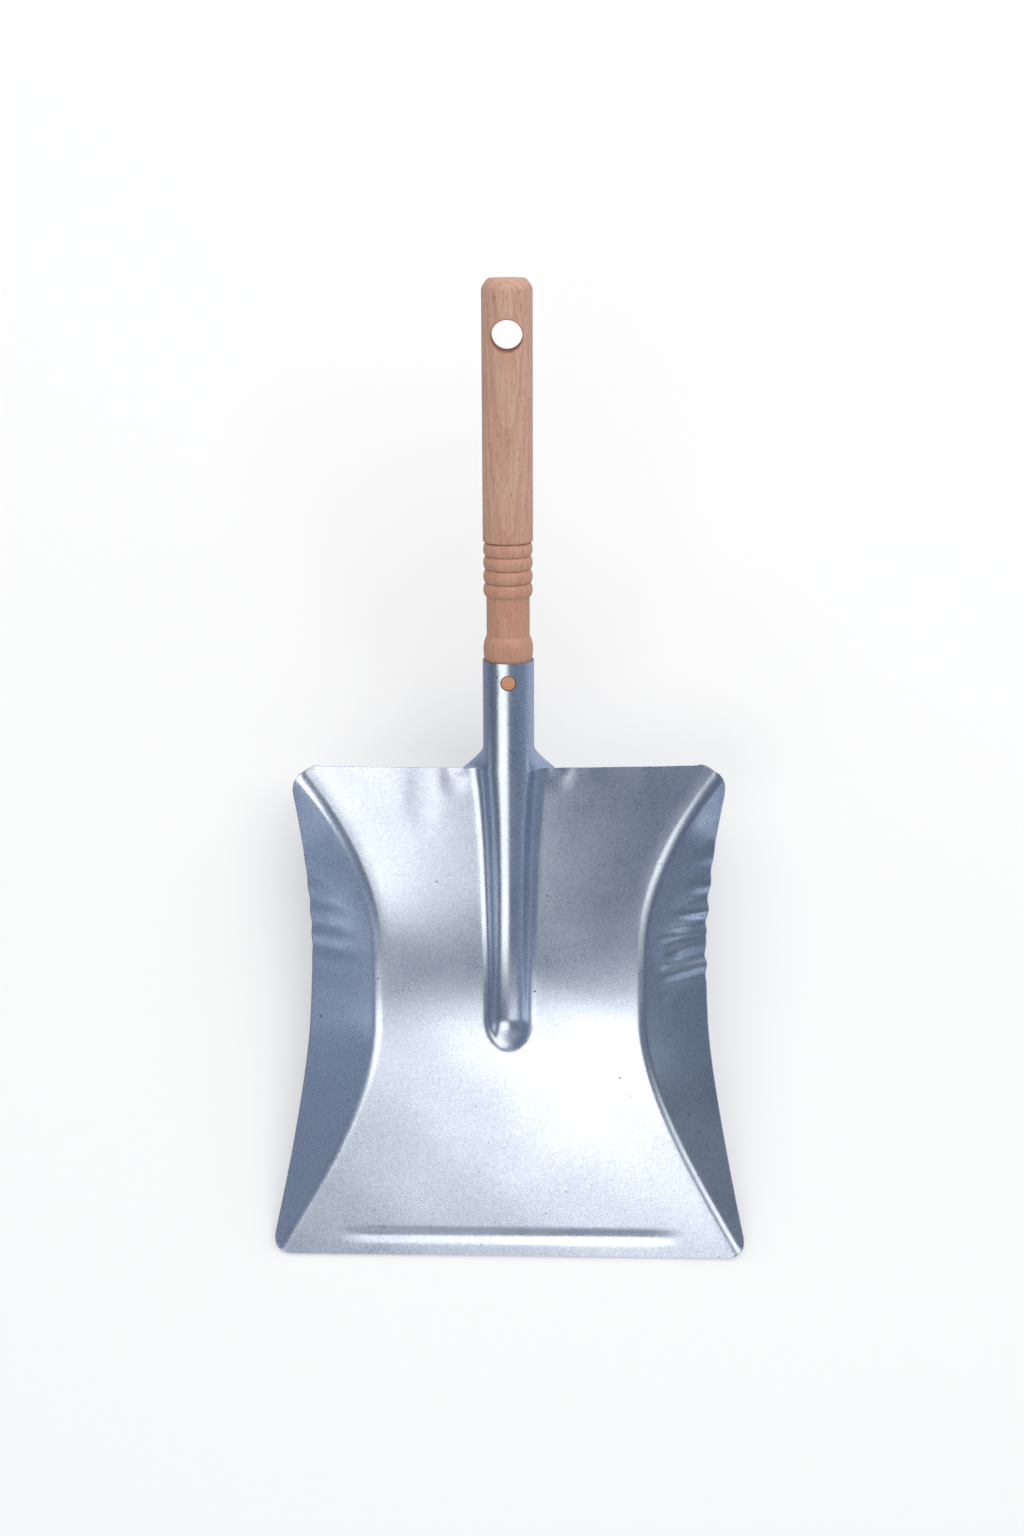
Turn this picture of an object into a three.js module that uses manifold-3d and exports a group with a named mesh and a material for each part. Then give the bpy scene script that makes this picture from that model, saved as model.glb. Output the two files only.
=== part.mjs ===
// A hand dustpan of the old pressed-steel kind: one sheet of galvanised steel, drawn into a scoop whose
// neck is rolled into a socket, and a turned beech handle held in that socket by a wooden peg.
//
// Millimetres, +Z up. The handle points to +Y and the lip to -Y. The front of the floor lies flat on z = 0.
// The sheet is drawn by two numbers: t, the length along its middle line (0 at the rear edge of the pan,
// negative towards the lip, positive up the socket), and s, the length across it, measured on the metal.
import * as THREE from "three";
import { mergeVertices } from "three/addons/utils/BufferGeometryUtils.js";
import Module from "manifold-3d";

const wasm = await Module();
wasm.setup();

// ---- driving dimensions ----
const SHEET = 0.7; // thickness of the sheet

const LIP = -242; // where the sheet ends at the front, along its middle line
const BEND_START = -150; // the floor is flat in front of this
const BEND_END = -35; // and straight again behind this
const RISE = THREE.MathUtils.degToRad(25); // slope of the rear floor, the socket and the handle

const WAIST = 62.8; // half-width of the floor where its creases are closest
const FRONT_FLARE = { from: -125.5, height: 37.1, length: 57.3 }; // each crease is a hyperbola to the lip
const REAR_FLARE = { from: -95, height: 633.5, length: 268.7 }; // and a flatter one to the rear edge
const WALL_TILT = THREE.MathUtils.degToRad(42); // the side walls lean out this far from the floor
const CREASE_RADIUS = 8;

const REAR_HALF_WIDTH = 105.2; // half-widths of the flat blank
const LIP_HALF_WIDTH = 116;
const SIDE_HOLLOW = 5.1; // the blank's sides curve in by this
const REAR_CORNER = 12;
const FRONT_CORNER = 10.5;

const TUBE = 12.05; // socket radius, to the middle of the sheet
const MOUTH = 54; // the socket's open end
const ROLL_LENGTH = 12; // the neck is a full tube this far behind the rear edge
const ROLL_EASE = 0.45; // below 1, it rolls up fastest at the rear edge
const FLAP_START = 6; // its two flaps widen from here
const ROOT = 3; // the neck starts this far outside the rib's foot
const ROOT_FADE = 8;
const SEAM_GAP = 1.6; // between the two rolled edges, under the socket
const LEAST_STRIP = 0.8; // every strip of the sheet keeps this width where the crease runs out at a corner

const NOSE = -126; // the rib's rounded front end starts here
const NOSE_LENGTH = 17;
const NOSE_HALF_WIDTH = 13;
const NOSE_HEIGHT = 6;
const RIB_HALF_WIDTH = 19.5; // where the rib meets the socket
const RIB_TAPER = 40;
const LEAST_RIB = 0.5; // a rib narrower than this is flat floor
const CROWN_SHARE = 0.58; // how much of the rib's curve belongs to its crown

const TIP = 232.7; // handle, along the same middle line
const GRIP_RADIUS = 11.9;
const TIP_CHAMFER = { width: 3.6, height: 5 }; // the handle's end is chamfered
const CHAMFER_EASE = 1.5; // and eased: 1 would be round, 2 a straight chamfer
const GRIP_END = 110.6; // the turned beads start here
const GRIP_STEP = 0.8; // the grip steps up from the last groove over this length
const BEAD_PITCH = 6.45;
const BEADS = 4;
const BEAD_RADIUS = 11.75;
const GROOVE_RADIUS = 10.4;
const NECK_RADIUS = 10.3;
const BULB = 59.4;
const BULB_RADIUS = 11.9;
const BULB_FULLNESS = 0.8; // below 1, the bulb is fuller than a sine curve
const TENON_RADIUS = 11.1;
const TENON_START = 53;
const TENON_END = 18;
const HANG_HOLE = 207;
const HANG_HOLE_RADIUS = 7.2;

const PEG = 44.7;
const PEG_RADIUS = 3.4;
const PEG_GAP = 0.3;
const PEG_HOLE_RADIUS = 3.9; // the punched hole in the socket is a little larger
const PEG_BOTTOM = 2.5; // how far above the handle's axis the blind hole ends
const PEG_TOP = TUBE + SHEET / 2 + 0.1;

const ROUND = 36; // sides of a turned piece

// ---- the middle line of the sheet ----
const between = (x, low, high) => Math.min(Math.max(x, low), high);

const smooth = (u) => {
  const v = between(u, 0, 1);
  return v * v * (3 - 2 * v);
};

const slopeAt = (t) => RISE * smooth((t - BEND_START) / (BEND_END - BEND_START));

// Place of the middle line at t, by adding up short steps from the lip.
function middle(t) {
  const steps = 300;
  const step = (t - LIP) / steps;
  let y = 0;
  let z = SHEET / 2;
  for (let i = 0; i < steps; i++) {
    const slope = slopeAt(LIP + (i + 0.5) * step);
    y += Math.cos(slope) * step;
    z += Math.sin(slope) * step;
  }
  return new THREE.Vector3(0, y, z);
}

// ---- the section across the sheet ----
// The rib is a crown arc and a hollow arc back to the floor: half-width, height and arc angles at t.
function ribAt(t) {
  const back = Math.min(t, 0);
  let half = NOSE_HALF_WIDTH + (RIB_HALF_WIDTH - NOSE_HALF_WIDTH) * Math.exp(back / RIB_TAPER);
  let height = NOSE_HEIGHT + (TUBE - NOSE_HEIGHT) * (1 - Math.max(back, NOSE) / NOSE);
  if (t < NOSE) {
    const ahead = Math.min((NOSE - t) / NOSE_LENGTH, 1);
    half *= Math.sqrt(1 - ahead * ahead);
    height *= (1 + Math.cos(Math.PI * ahead)) / 2;
  }
  if (half < LEAST_RIB) return { height: 0, crown: 1, hollow: 1, angle: 0, foot: 0, extra: 0 };
  const angle = 2 * Math.atan(height / half);
  const radius = half / Math.sin(angle);
  const crown = radius * CROWN_SHARE;
  return {
    height,
    angle,
    crown,
    hollow: radius - crown,
    foot: radius * angle,
    extra: radius * angle - half,
  };
}

const flare = ({ height, length }, run) => height * (Math.hypot(1, Math.max(run, 0) / length) - 1);

const creaseAt = (t) =>
  WAIST + flare(FRONT_FLARE, FRONT_FLARE.from - t) + flare(REAR_FLARE, t - REAR_FLARE.from);

// Fold of the side wall at t: the crease runs aslant, so the section sees it spread out and less steep.
function foldAt(t) {
  const aslant = Math.atan(creaseAt(t + 0.5) - creaseAt(t - 0.5));
  const tilt = Math.atan(Math.tan(WALL_TILT) * Math.cos(aslant));
  return { tilt, start: creaseAt(t), length: (CREASE_RADIUS * tilt) / Math.cos(aslant) };
}

// Half-width of the blank at t, with its rounded corners.
function sideAt(t) {
  const u = t / LIP;
  const half = REAR_HALF_WIDTH + (LIP_HALF_WIDTH - REAR_HALF_WIDTH) * u - 4 * SIDE_HOLLOW * u * (1 - u);
  const rear = Math.max(REAR_CORNER + t, 0);
  const front = Math.max(FRONT_CORNER - (t - LIP), 0);
  const cut = (radius, run) => radius - Math.sqrt(radius * radius - run * run);
  return half - cut(REAR_CORNER, rear) - cut(FRONT_CORNER, front);
}

// Half-width of the neck's blank: its flap starts beside the rib's foot and widens to the socket's half-girth.
function neckAt(t) {
  const foot = ribAt(0).foot + ROOT;
  const girth = Math.PI * TUBE - SEAM_GAP / 2;
  return foot + (girth - foot) * smooth((t - FLAP_START) / (ROLL_LENGTH - FLAP_START));
}

// Downward lean of the metal at (s, t).
function lean(s, t, rib, fold) {
  const ribLean = Math.max(Math.min(s / rib.crown, rib.angle - (s - rib.crown * rib.angle) / rib.hollow), 0);
  if (t <= 0) return ribLean - fold.tilt * between((s - rib.extra - fold.start) / fold.length, 0, 1);
  const rolled = Math.min(t / ROLL_LENGTH, 1) ** ROLL_EASE;
  return (1 - rolled) * ribLean + (rolled * s) / TUBE;
}

// Place of (s, t) on the middle of the sheet: x outwards and n up from the middle line, by short steps.
function onSheet(s, t, centre) {
  const rib = ribAt(t);
  const fold = foldAt(t);
  const steps = 160;
  const step = Math.abs(s) / steps;
  let x = 0;
  let n = rib.height;
  for (let i = 0; i < steps; i++) {
    const angle = lean((i + 0.5) * step, t, rib, fold);
    x += Math.cos(angle) * step;
    n -= Math.sin(angle) * step;
  }
  const slope = slopeAt(t);
  return new THREE.Vector3(
    Math.sign(s) * x,
    centre.y - n * Math.sin(slope),
    centre.z + n * Math.cos(slope),
  );
}

// ---- meshes ----
const linear = (from, to, count) =>
  Array.from({ length: count + 1 }, (_, i) => from + ((to - from) * i) / count);

// Rows crowd together in a rounded corner, by equal steps round its arc.
const cornerSteps = (radius, count) =>
  linear(0, Math.PI / 2, count).map((angle) => radius * (1 - Math.cos(angle)));

const unique = (values) => [...new Set(values.map((v) => Number(v.toFixed(4))))].sort((a, b) => a - b);

const panRows = unique([
  ...cornerSteps(FRONT_CORNER, 4).map((run) => LIP + run),
  ...linear(LIP + FRONT_CORNER, NOSE - NOSE_LENGTH, 6),
  ...linear(NOSE - NOSE_LENGTH, NOSE, 5),
  ...linear(NOSE, -REAR_CORNER, 15),
  ...cornerSteps(REAR_CORNER, 4).map((run) => -run),
]);

const neckRows = [0.3, 1, 2, 3.5, 5.5, 8, 10, ROLL_LENGTH, 24, 38, MOUTH];

const COLUMNS = { rib: 7, floor: 4, fold: 3, wall: 3 };

// The s of each column at t, from the middle to one side.
function columnsAt(t) {
  if (t > 0) return linear(0, neckAt(t), COLUMNS.rib);
  const rib = ribAt(t);
  const fold = foldAt(t);
  const side = sideAt(t) + rib.extra;
  const foldEnd = Math.min(fold.start + fold.length + rib.extra, side - LEAST_STRIP);
  const foldStart = Math.min(fold.start + rib.extra, foldEnd - LEAST_STRIP);
  const foot = Math.max(rib.foot, NOSE_HALF_WIDTH) + ROOT * Math.exp(t / ROOT_FADE);
  return [
    ...linear(0, foot, COLUMNS.rib),
    ...linear(foot, foldStart, COLUMNS.floor).slice(1),
    ...linear(foldStart, foldEnd, COLUMNS.fold).slice(1),
    ...linear(foldEnd, side, COLUMNS.wall).slice(1),
  ];
}

// The middle of the sheet as an open mesh: a wide grid for the pan and a narrow one for the neck.
function sheetSurface() {
  const points = [];
  const rows = [...panRows, ...neckRows].map((t) => {
    const centre = middle(t);
    const half = columnsAt(t);
    const across = [...half.slice(1).reverse().map((s) => -s), ...half];
    return across.map((s) => points.push(onSheet(s, t, centre)) - 1);
  });
  const faces = [];
  for (let i = 1; i < rows.length; i++) {
    const front = rows[i - 1];
    const rear = rows[i];
    const inset = (front.length - rear.length) / 2;
    for (let j = 1; j < rear.length; j++) {
      const [a, b] = [front[inset + j - 1], front[inset + j]];
      const [c, d] = [rear[j], rear[j - 1]];
      const mirrored = j > rear.length / 2;
      faces.push(...(mirrored ? [[a, b, c], [a, c, d]] : [[a, b, d], [b, c, d]]));
    }
  }
  return { points, faces };
}

// Gives an open mesh a thickness: both faces are moved half of it along the normals, and the rim is closed.
function thicken({ points, faces }, thickness) {
  const normals = points.map(() => new THREE.Vector3());
  const edges = new Map();
  for (const face of faces) {
    const [a, b, c] = face.map((i) => points[i]);
    const normal = b.clone().sub(a).cross(c.clone().sub(a));
    face.forEach((i) => normals[i].add(normal));
    face.forEach((from, k) => {
      const to = face[(k + 1) % 3];
      if (!edges.delete(`${to} ${from}`)) edges.set(`${from} ${to}`, [from, to]);
    });
  }
  const shifted = (side) =>
    points.map((p, i) => p.clone().addScaledVector(normals[i].clone().normalize(), (side * thickness) / 2));
  const count = points.length;
  const all = [...shifted(1), ...shifted(-1)];
  const index = faces.flat();
  faces.forEach(([a, b, c]) => index.push(a + count, c + count, b + count));
  edges.forEach(([a, b]) => index.push(a, a + count, b, b, a + count, b + count));
  const geometry = new THREE.BufferGeometry().setFromPoints(all);
  return geometry.setIndex(index);
}

// ---- joins and cuts ----
function solidOf(geometry) {
  const bare = geometry.clone();
  bare.deleteAttribute("normal");
  bare.deleteAttribute("uv");
  const merged = mergeVertices(bare, 1e-3);
  const mesh = new wasm.Mesh({
    numProp: 3,
    vertProperties: merged.attributes.position.array,
    triVerts: new Uint32Array(merged.index.array),
  });
  return new wasm.Manifold(mesh);
}

function geometryOf(solid) {
  const mesh = solid.getMesh();
  const geometry = new THREE.BufferGeometry();
  geometry.setAttribute("position", new THREE.BufferAttribute(mesh.vertProperties, 3));
  geometry.setIndex(new THREE.BufferAttribute(mesh.triVerts, 1));
  geometry.computeVertexNormals();
  return geometry;
}

const cut = (geometry, ...tools) =>
  geometryOf(tools.reduce((left, tool) => left.subtract(solidOf(tool)), solidOf(geometry)));

// A round bar square to the handle, standing on the socket's middle line at t, from one height to another.
function crossBar(t, radius, bottom, top) {
  const bar = new THREE.CylinderGeometry(radius, radius, top - bottom, 32);
  bar.rotateX(Math.PI / 2);
  bar.translate(0, 0, (bottom + top) / 2);
  return bar.applyMatrix4(handleFrame(t));
}

// Frame of the socket and handle at t: +Y runs along the handle's axis, +Z square to it and up.
function handleFrame(t) {
  const turn = new THREE.Matrix4().makeRotationX(RISE);
  return turn.setPosition(middle(t));
}

// ---- the pieces ----
function panGeometry() {
  const sheet = thicken(sheetSurface(), SHEET);
  return cut(sheet, crossBar(PEG, PEG_HOLE_RADIUS, 0, TUBE + 5));
}

// Profile of the turned handle, as radius and place along its axis, from the tenon to the tip.
function handleProfile() {
  const profile = [
    [0, TENON_END],
    [TENON_RADIUS - 1, TENON_END],
    [TENON_RADIUS, TENON_END + 1],
    [TENON_RADIUS, TENON_START],
  ];
  const bulbEnd = 2 * BULB - TENON_START;
  for (const u of linear(0.1, 1, 9)) {
    const low = u < 0.5 ? TENON_RADIUS : NECK_RADIUS;
    const swell = Math.sin(Math.PI * u) ** BULB_FULLNESS;
    profile.push([low + (BULB_RADIUS - low) * swell, TENON_START + (bulbEnd - TENON_START) * u]);
  }
  const beadsStart = GRIP_END - BEADS * BEAD_PITCH;
  profile.push([NECK_RADIUS, beadsStart]);
  for (let bead = 0; bead < BEADS; bead++) {
    for (const u of linear(0, 1, 6).slice(1)) {
      const swell = Math.sqrt(Math.sin(Math.PI * u));
      profile.push([
        GROOVE_RADIUS + (BEAD_RADIUS - GROOVE_RADIUS) * (swell || 0),
        beadsStart + (bead + u) * BEAD_PITCH,
      ]);
    }
  }
  profile.push([GRIP_RADIUS, GRIP_END + GRIP_STEP]);
  for (const u of linear(0, 1, 6)) {
    const inwards = 1 - Math.abs(Math.cos((Math.PI / 2) * u)) ** CHAMFER_EASE;
    const below = 1 - Math.sin((Math.PI / 2) * u) ** CHAMFER_EASE;
    profile.push([GRIP_RADIUS - TIP_CHAMFER.width * inwards, TIP - TIP_CHAMFER.height * below]);
  }
  profile.push([0, TIP]);
  return profile.map(([radius, along]) => new THREE.Vector2(radius, along));
}

function handleGeometry() {
  const turned = new THREE.LatheGeometry(handleProfile(), ROUND).applyMatrix4(handleFrame(0));
  const hangHole = crossBar(HANG_HOLE, HANG_HOLE_RADIUS, -2 * GRIP_RADIUS, 2 * GRIP_RADIUS);
  const pegHole = crossBar(PEG, PEG_RADIUS + PEG_GAP, PEG_BOTTOM - PEG_GAP, 2 * TUBE);
  return cut(turned, hangHole, pegHole);
}

const pegGeometry = () => crossBar(PEG, PEG_RADIUS, PEG_BOTTOM, PEG_TOP);

// ---- the assembly ----
const steel = { color: 0xa9afb8, roughness: 0.42, metalness: 1 };
const beech = { color: 0xc39a7c, roughness: 0.55, metalness: 0 };
const pegWood = { color: 0xb98c6e, roughness: 0.6, metalness: 0 };

const dustpan = new THREE.Group();
const pieces = [
  ["pan", panGeometry(), steel],
  ["handle", handleGeometry(), beech],
  ["locking_peg", pegGeometry(), pegWood],
];
for (const [name, geometry, look] of pieces) {
  const piece = new THREE.Mesh(geometry, new THREE.MeshStandardMaterial(look));
  piece.name = name;
  dustpan.add(piece);
}

// The origin is under the middle of the whole object, on the surface that it lies on.
const extent = new THREE.Box3().setFromObject(dustpan, true);
const centre = extent.getCenter(new THREE.Vector3());
dustpan.position.set(-centre.x, -centre.y, -extent.min.z);

export default dustpan;
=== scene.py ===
# %% [markdown]
# # A pressed steel dustpan with a turned handle
#
# The object is three pieces: one sheet of galvanised steel, one turned stick of beech, and one small
# beech peg that locks the stick in the socket. The steel sheet is the interesting one, because the scoop,
# its two side walls, the stiffening rib and the socket for the handle are all the same sheet, pressed and
# rolled. This script loads the working model, makes a fine surface for each of the three pieces from
# formulas, gives them their metal and wood, and sets up a plain studio.

# %% Load the working model
import math

import bpy
import numpy as np
from mathutils import Matrix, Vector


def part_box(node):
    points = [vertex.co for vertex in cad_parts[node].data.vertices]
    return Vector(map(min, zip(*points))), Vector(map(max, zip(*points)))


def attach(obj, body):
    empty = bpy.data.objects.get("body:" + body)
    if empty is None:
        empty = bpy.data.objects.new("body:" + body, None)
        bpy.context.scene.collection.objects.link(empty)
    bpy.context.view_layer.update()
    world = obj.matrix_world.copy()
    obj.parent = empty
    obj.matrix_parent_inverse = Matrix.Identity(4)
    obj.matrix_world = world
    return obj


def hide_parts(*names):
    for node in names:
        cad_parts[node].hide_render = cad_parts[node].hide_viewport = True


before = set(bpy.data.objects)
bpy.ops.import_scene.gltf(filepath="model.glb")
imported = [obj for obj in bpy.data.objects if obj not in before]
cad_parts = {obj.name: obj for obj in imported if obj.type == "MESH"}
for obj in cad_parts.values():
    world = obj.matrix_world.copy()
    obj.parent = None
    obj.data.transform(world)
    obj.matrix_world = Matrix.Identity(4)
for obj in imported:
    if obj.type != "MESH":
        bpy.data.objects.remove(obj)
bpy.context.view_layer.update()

# %% [markdown]
# ## Two numbers that reach every point of the sheet
#
# A sheet-metal worker draws the part flat before bending it. We do the same. The number t is the length
# along the middle line of the sheet: 0 at the rear edge of the pan, negative towards the lip, positive
# up the socket. The number s is the length across the sheet, measured on the metal. Every shape below is
# a formula in t and s, in millimetres, so the pan could be remade in another size by changing a few
# values. We could also sculpt it by hand, but then the crease and the rib would never run true.

# %% Driving dimensions of the sheet, in millimetres
MM = 0.001
SHEET = 0.6  # thickness that is drawn; the working model's sheet is a little thicker
CAD_SHEET = 0.7

LIP = -242.0  # where the sheet ends at the front
BEND_START = -150.0  # flat in front of this
BEND_END = -35.0  # and straight again behind this
RISE = math.radians(25)  # slope of the rear floor, the socket and the handle

WAIST = 62.8  # half-width of the floor where its creases are closest
FRONT_FLARE = (-125.5, 37.1, 57.3)  # each crease is a hyperbola to the lip: start, height, length
REAR_FLARE = (-95.0, 633.5, 268.7)  # and a flatter one to the rear edge
WALL_TILT = math.radians(42)
CREASE_RADIUS = 8.0

REAR_HALF_WIDTH = 105.2  # half-widths of the flat blank, less the rib's curve
LIP_HALF_WIDTH = 116.0
SIDE_HOLLOW = 5.1
REAR_CORNER = 12.0
FRONT_CORNER = 10.5

TUBE = 12.05  # socket radius, to the middle of the sheet
MOUTH = 54.0  # the socket's open end
ROLL_LENGTH = 12.0  # the neck is a full tube this far behind the rear edge
ROLL_EASE = 0.45  # below 1, it rolls up fastest at the rear edge
FLAP_START = 6.0  # its two flaps widen from here
ROOT = 3.0  # the neck starts this far outside the rib's foot
ROOT_FADE = 8.0
SEAM_GAP = 1.6

NOSE = -126.0  # the rib's rounded front end starts here
NOSE_LENGTH = 17.0
NOSE_HALF_WIDTH = 13.0
NOSE_HEIGHT = 6.0
RIB_HALF_WIDTH = 19.5
RIB_TAPER = 40.0
CROWN_SHARE = 0.58  # how much of the rib's curve belongs to its crown

PEG = 44.7
PEG_RADIUS = 3.4
PEG_HOLE_RADIUS = 3.75
print("flat blank", MOUTH - LIP, "mm long and", 2 * LIP_HALF_WIDTH, "mm wide at the lip")

# %% [markdown]
# ## The middle line
#
# From the side, the sheet is flat at the front, bends up by 25 degrees, and then runs straight through
# the rear of the pan, the socket and the handle. The slope follows a smooth step, so the bend starts and
# stops without a line across the metal. Adding up very short steps of that slope gives the place.

# %% Middle line
def smooth(u):
    """Smooth step: 0 below 0, 1 above 1, and 3u^2 - 2u^3 between."""
    v = np.clip(u, 0.0, 1.0)
    return v * v * (3.0 - 2.0 * v)


def slope_at(t):
    """Slope of the middle line: a smooth step from level to RISE over the bend."""
    return RISE * smooth((t - BEND_START) / (BEND_END - BEND_START))


line_t = np.linspace(LIP, 240.0, 4801)
line_step = line_t[1] - line_t[0]
line_slope = slope_at(line_t[:-1] + line_step / 2)
lip_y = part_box("pan")[0][1] / MM
line_y = lip_y + np.concatenate([[0.0], np.cumsum(np.cos(line_slope)) * line_step])
line_z = CAD_SHEET / 2 + np.concatenate([[0.0], np.cumsum(np.sin(line_slope)) * line_step])


def middle(t):
    """Place (y, z) of the middle line at t."""
    return np.interp(t, line_t, line_y), np.interp(t, line_t, line_z)


print("rear edge at y, z =", [round(float(v), 1) for v in middle(0.0)], "mm")

# %% [markdown]
# ## The section across the sheet
#
# Cut across the pan and the sheet is a chain of straight and round stretches: the round crown of the rib,
# a hollow curve down to the floor, the flat floor, a tight fold and the leaning side wall. Behind the
# pan the same chain rolls up into a tube. Each stretch says how far the metal leans at s, and adding up
# short steps of that lean gives the place. That is how a strip of metal really bends: it keeps its length.

# %% Rib
def rib_at(t):
    """Rib at t: height over the floor, radii of crown and hollow arc, angle where they meet, and foot.

    Half-width and height shrink from the socket to the nose, and close over a round end in front of it.
    A crown arc and a hollow arc of equal angle 2 atan(height / half-width) join the top to the floor.
    """
    back = np.minimum(t, 0.0)
    half = NOSE_HALF_WIDTH + (RIB_HALF_WIDTH - NOSE_HALF_WIDTH) * np.exp(back / RIB_TAPER)
    height = NOSE_HEIGHT + (TUBE - NOSE_HEIGHT) * (1 - np.maximum(back, NOSE) / NOSE)
    ahead = np.clip((NOSE - t) / NOSE_LENGTH, 0.0, 0.9995)
    half = half * np.sqrt(1 - ahead**2)
    height = height * (1 + np.cos(np.pi * ahead)) / 2
    angle = 2 * np.arctan(height / half)
    radius = half / np.sin(angle)
    return {
        "height": height,
        "angle": angle,
        "crown": radius * CROWN_SHARE,
        "hollow": radius * (1 - CROWN_SHARE),
        "foot": radius * angle,
        "extra": radius * angle - half,
    }


print("rib", rib_at(np.float64(-60.0))["height"].round(1), "mm high, 60 mm in front of the rear edge")

# %% [markdown]
# ### Crease and side wall
#
# The crease between floor and wall swings in to a waist and out again. Two hyperbolas that start flat
# meet there without a kink, and each runs nearly straight towards its end, as the press tool does. Where
# the crease runs aslant, a cut straight across the pan meets the fold at an angle, so it looks longer and
# less steep there than it is.

# %% Crease and fold
def flare(shape, run):
    """Hyperbola that starts flat: height * (sqrt(1 + (run / length)^2) - 1)."""
    _, height, length = shape
    return height * (np.hypot(1.0, np.maximum(run, 0.0) / length) - 1.0)


def crease_at(t):
    """Half-width of the floor: narrowest at the waist, flaring to the lip and to the rear edge."""
    return WAIST + flare(FRONT_FLARE, FRONT_FLARE[0] - t) + flare(REAR_FLARE, t - REAR_FLARE[0])


def fold_at(t):
    """Side wall's fold at t: tilt seen in the section, where it starts, and how long the bend is."""
    aslant = np.arctan(crease_at(t + 0.5) - crease_at(t - 0.5))
    tilt = np.arctan(math.tan(WALL_TILT) * np.cos(aslant))
    return tilt, crease_at(t), CREASE_RADIUS * tilt / np.cos(aslant)


print("floor is", 2 * WAIST, "mm wide at its waist,", round(2 * float(crease_at(0.0)), 1), "at the rear")

# %% [markdown]
# ### Outline of the blank
#
# The outline is drawn on the flat sheet, where its sides are nearly straight and its corners are true
# arcs. The neck's blank is as wide as the socket's girth, less the gap of the seam.

# %% Outline
def side_at(t):
    """Half-width of the blank at t, less the rib's curve: a hollow line with round corners."""
    u = t / LIP
    half = REAR_HALF_WIDTH + (LIP_HALF_WIDTH - REAR_HALF_WIDTH) * u - 4 * SIDE_HOLLOW * u * (1 - u)
    for radius, run in ((REAR_CORNER, REAR_CORNER + t), (FRONT_CORNER, FRONT_CORNER - (t - LIP))):
        half = half - (radius - np.sqrt(radius**2 - np.clip(run, 0.0, radius) ** 2))
    return half


def neck_at(t):
    """Half-width of the neck's blank: from the rib's foot to the socket's half-girth, by a smooth step."""
    foot = rib_at(np.float64(0.0))["foot"] + ROOT
    girth = math.pi * TUBE - SEAM_GAP / 2
    return foot + (girth - foot) * smooth((t - FLAP_START) / (ROLL_LENGTH - FLAP_START))


print("socket's blank is", round(2 * float(neck_at(MOUTH)), 1), "mm wide")

# %% [markdown]
# ### Bending it up
#
# Now every point knows how far its metal leans, and short steps along the sheet carry it to its place.

# %% Place of a point on the sheet
def lean(s, t, rib, fold):
    """How far the metal leans down at (s, t): rib, fold and tube, mixed by how far the neck is rolled."""
    tilt, start, length = fold
    past = rib["angle"] - (s - rib["crown"] * rib["angle"]) / rib["hollow"]
    on_rib = np.maximum(np.minimum(s / rib["crown"], past), 0.0)
    on_fold = tilt * np.clip((s - rib["extra"] - start) / length, 0.0, 1.0)
    rolled = np.clip(t / ROLL_LENGTH, 0.0, 1.0) ** ROLL_EASE
    return np.where(t > 0, (1 - rolled) * on_rib + rolled * s / TUBE, on_rib - on_fold)


def on_sheet(s, t, steps=160):
    """Points of the middle of the sheet, in millimetres, at arrays s and t: short steps of lean added up."""
    rib = rib_at(t)
    fold = fold_at(t)
    reach = np.abs(s)
    step = reach / steps
    x = np.zeros_like(reach)
    up = rib["height"] + 0.0 * reach
    for i in range(steps):
        angle = lean((i + 0.5) * step, t, rib, fold)
        x += np.cos(angle) * step
        up -= np.sin(angle) * step
    y, z = middle(t)
    slope = slope_at(t)
    return np.stack([np.sign(s) * x, y - up * np.sin(slope), z + up * np.cos(slope)], axis=-1)


corner_t = np.array([-REAR_CORNER])
corner = on_sheet(side_at(corner_t) + rib_at(corner_t)["extra"], corner_t)[0]
print("rear corner starts at", corner.round(1), "mm")

# %% [markdown]
# ## What the press and use left in the metal
#
# A real pressing is never as clean as its drawing. Metal that is bent along a curve has too much length
# at its free edge, so the side walls ripple where the crease is tightest, more on one side than the
# other. A shallow groove is pressed in parallel to the lip to stiffen it. The rear corners pulled small
# dents next to the neck. All this is height on the sheet, along its own normal, so it is real geometry
# and it moves the reflections the way thin sheet does.
#
# First the lip: its groove, and the cut of the sheet, which was sheared a little out of square.

# %% Lip groove and squareness
LIP_GROOVE = -232.5
LIP_GROOVE_HALF_WIDTH = 3.6
LIP_GROOVE_DEPTH = 0.42
LIP_GROOVE_END = 86.0
LIP_GROOVE_FADE = 22.0
LIP_SKEW = 2.6
TRIM = 0.3
SKEW_START = -185.0
SKEW_LENGTH = 54.0


def bump(u):
    """Round bump of height 1 over -1 < u < 1: (1 - u^2)^2."""
    return np.maximum(1.0 - u * u, 0.0) ** 2


def groove(s, t):
    """Straight groove parallel to the lip that fades at its two ends."""
    ends = smooth((LIP_GROOVE_END - np.abs(s)) / LIP_GROOVE_FADE)
    return -LIP_GROOVE_DEPTH * ends * bump((t - LIP_GROOVE) / LIP_GROOVE_HALF_WIDTH)


def out_of_square(s, t):
    """The lip was cut out of square: t moves back by TRIM at the right end, LIP_SKEW more at the left."""
    back = TRIM + LIP_SKEW * (0.5 - s / (2 * LIP_HALF_WIDTH))
    return t + smooth((SKEW_START - t) / SKEW_LENGTH) * back


print("lip groove", LIP_GROOVE_DEPTH, "mm deep,", 2 * LIP_GROOVE_HALF_WIDTH, "mm wide")

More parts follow.
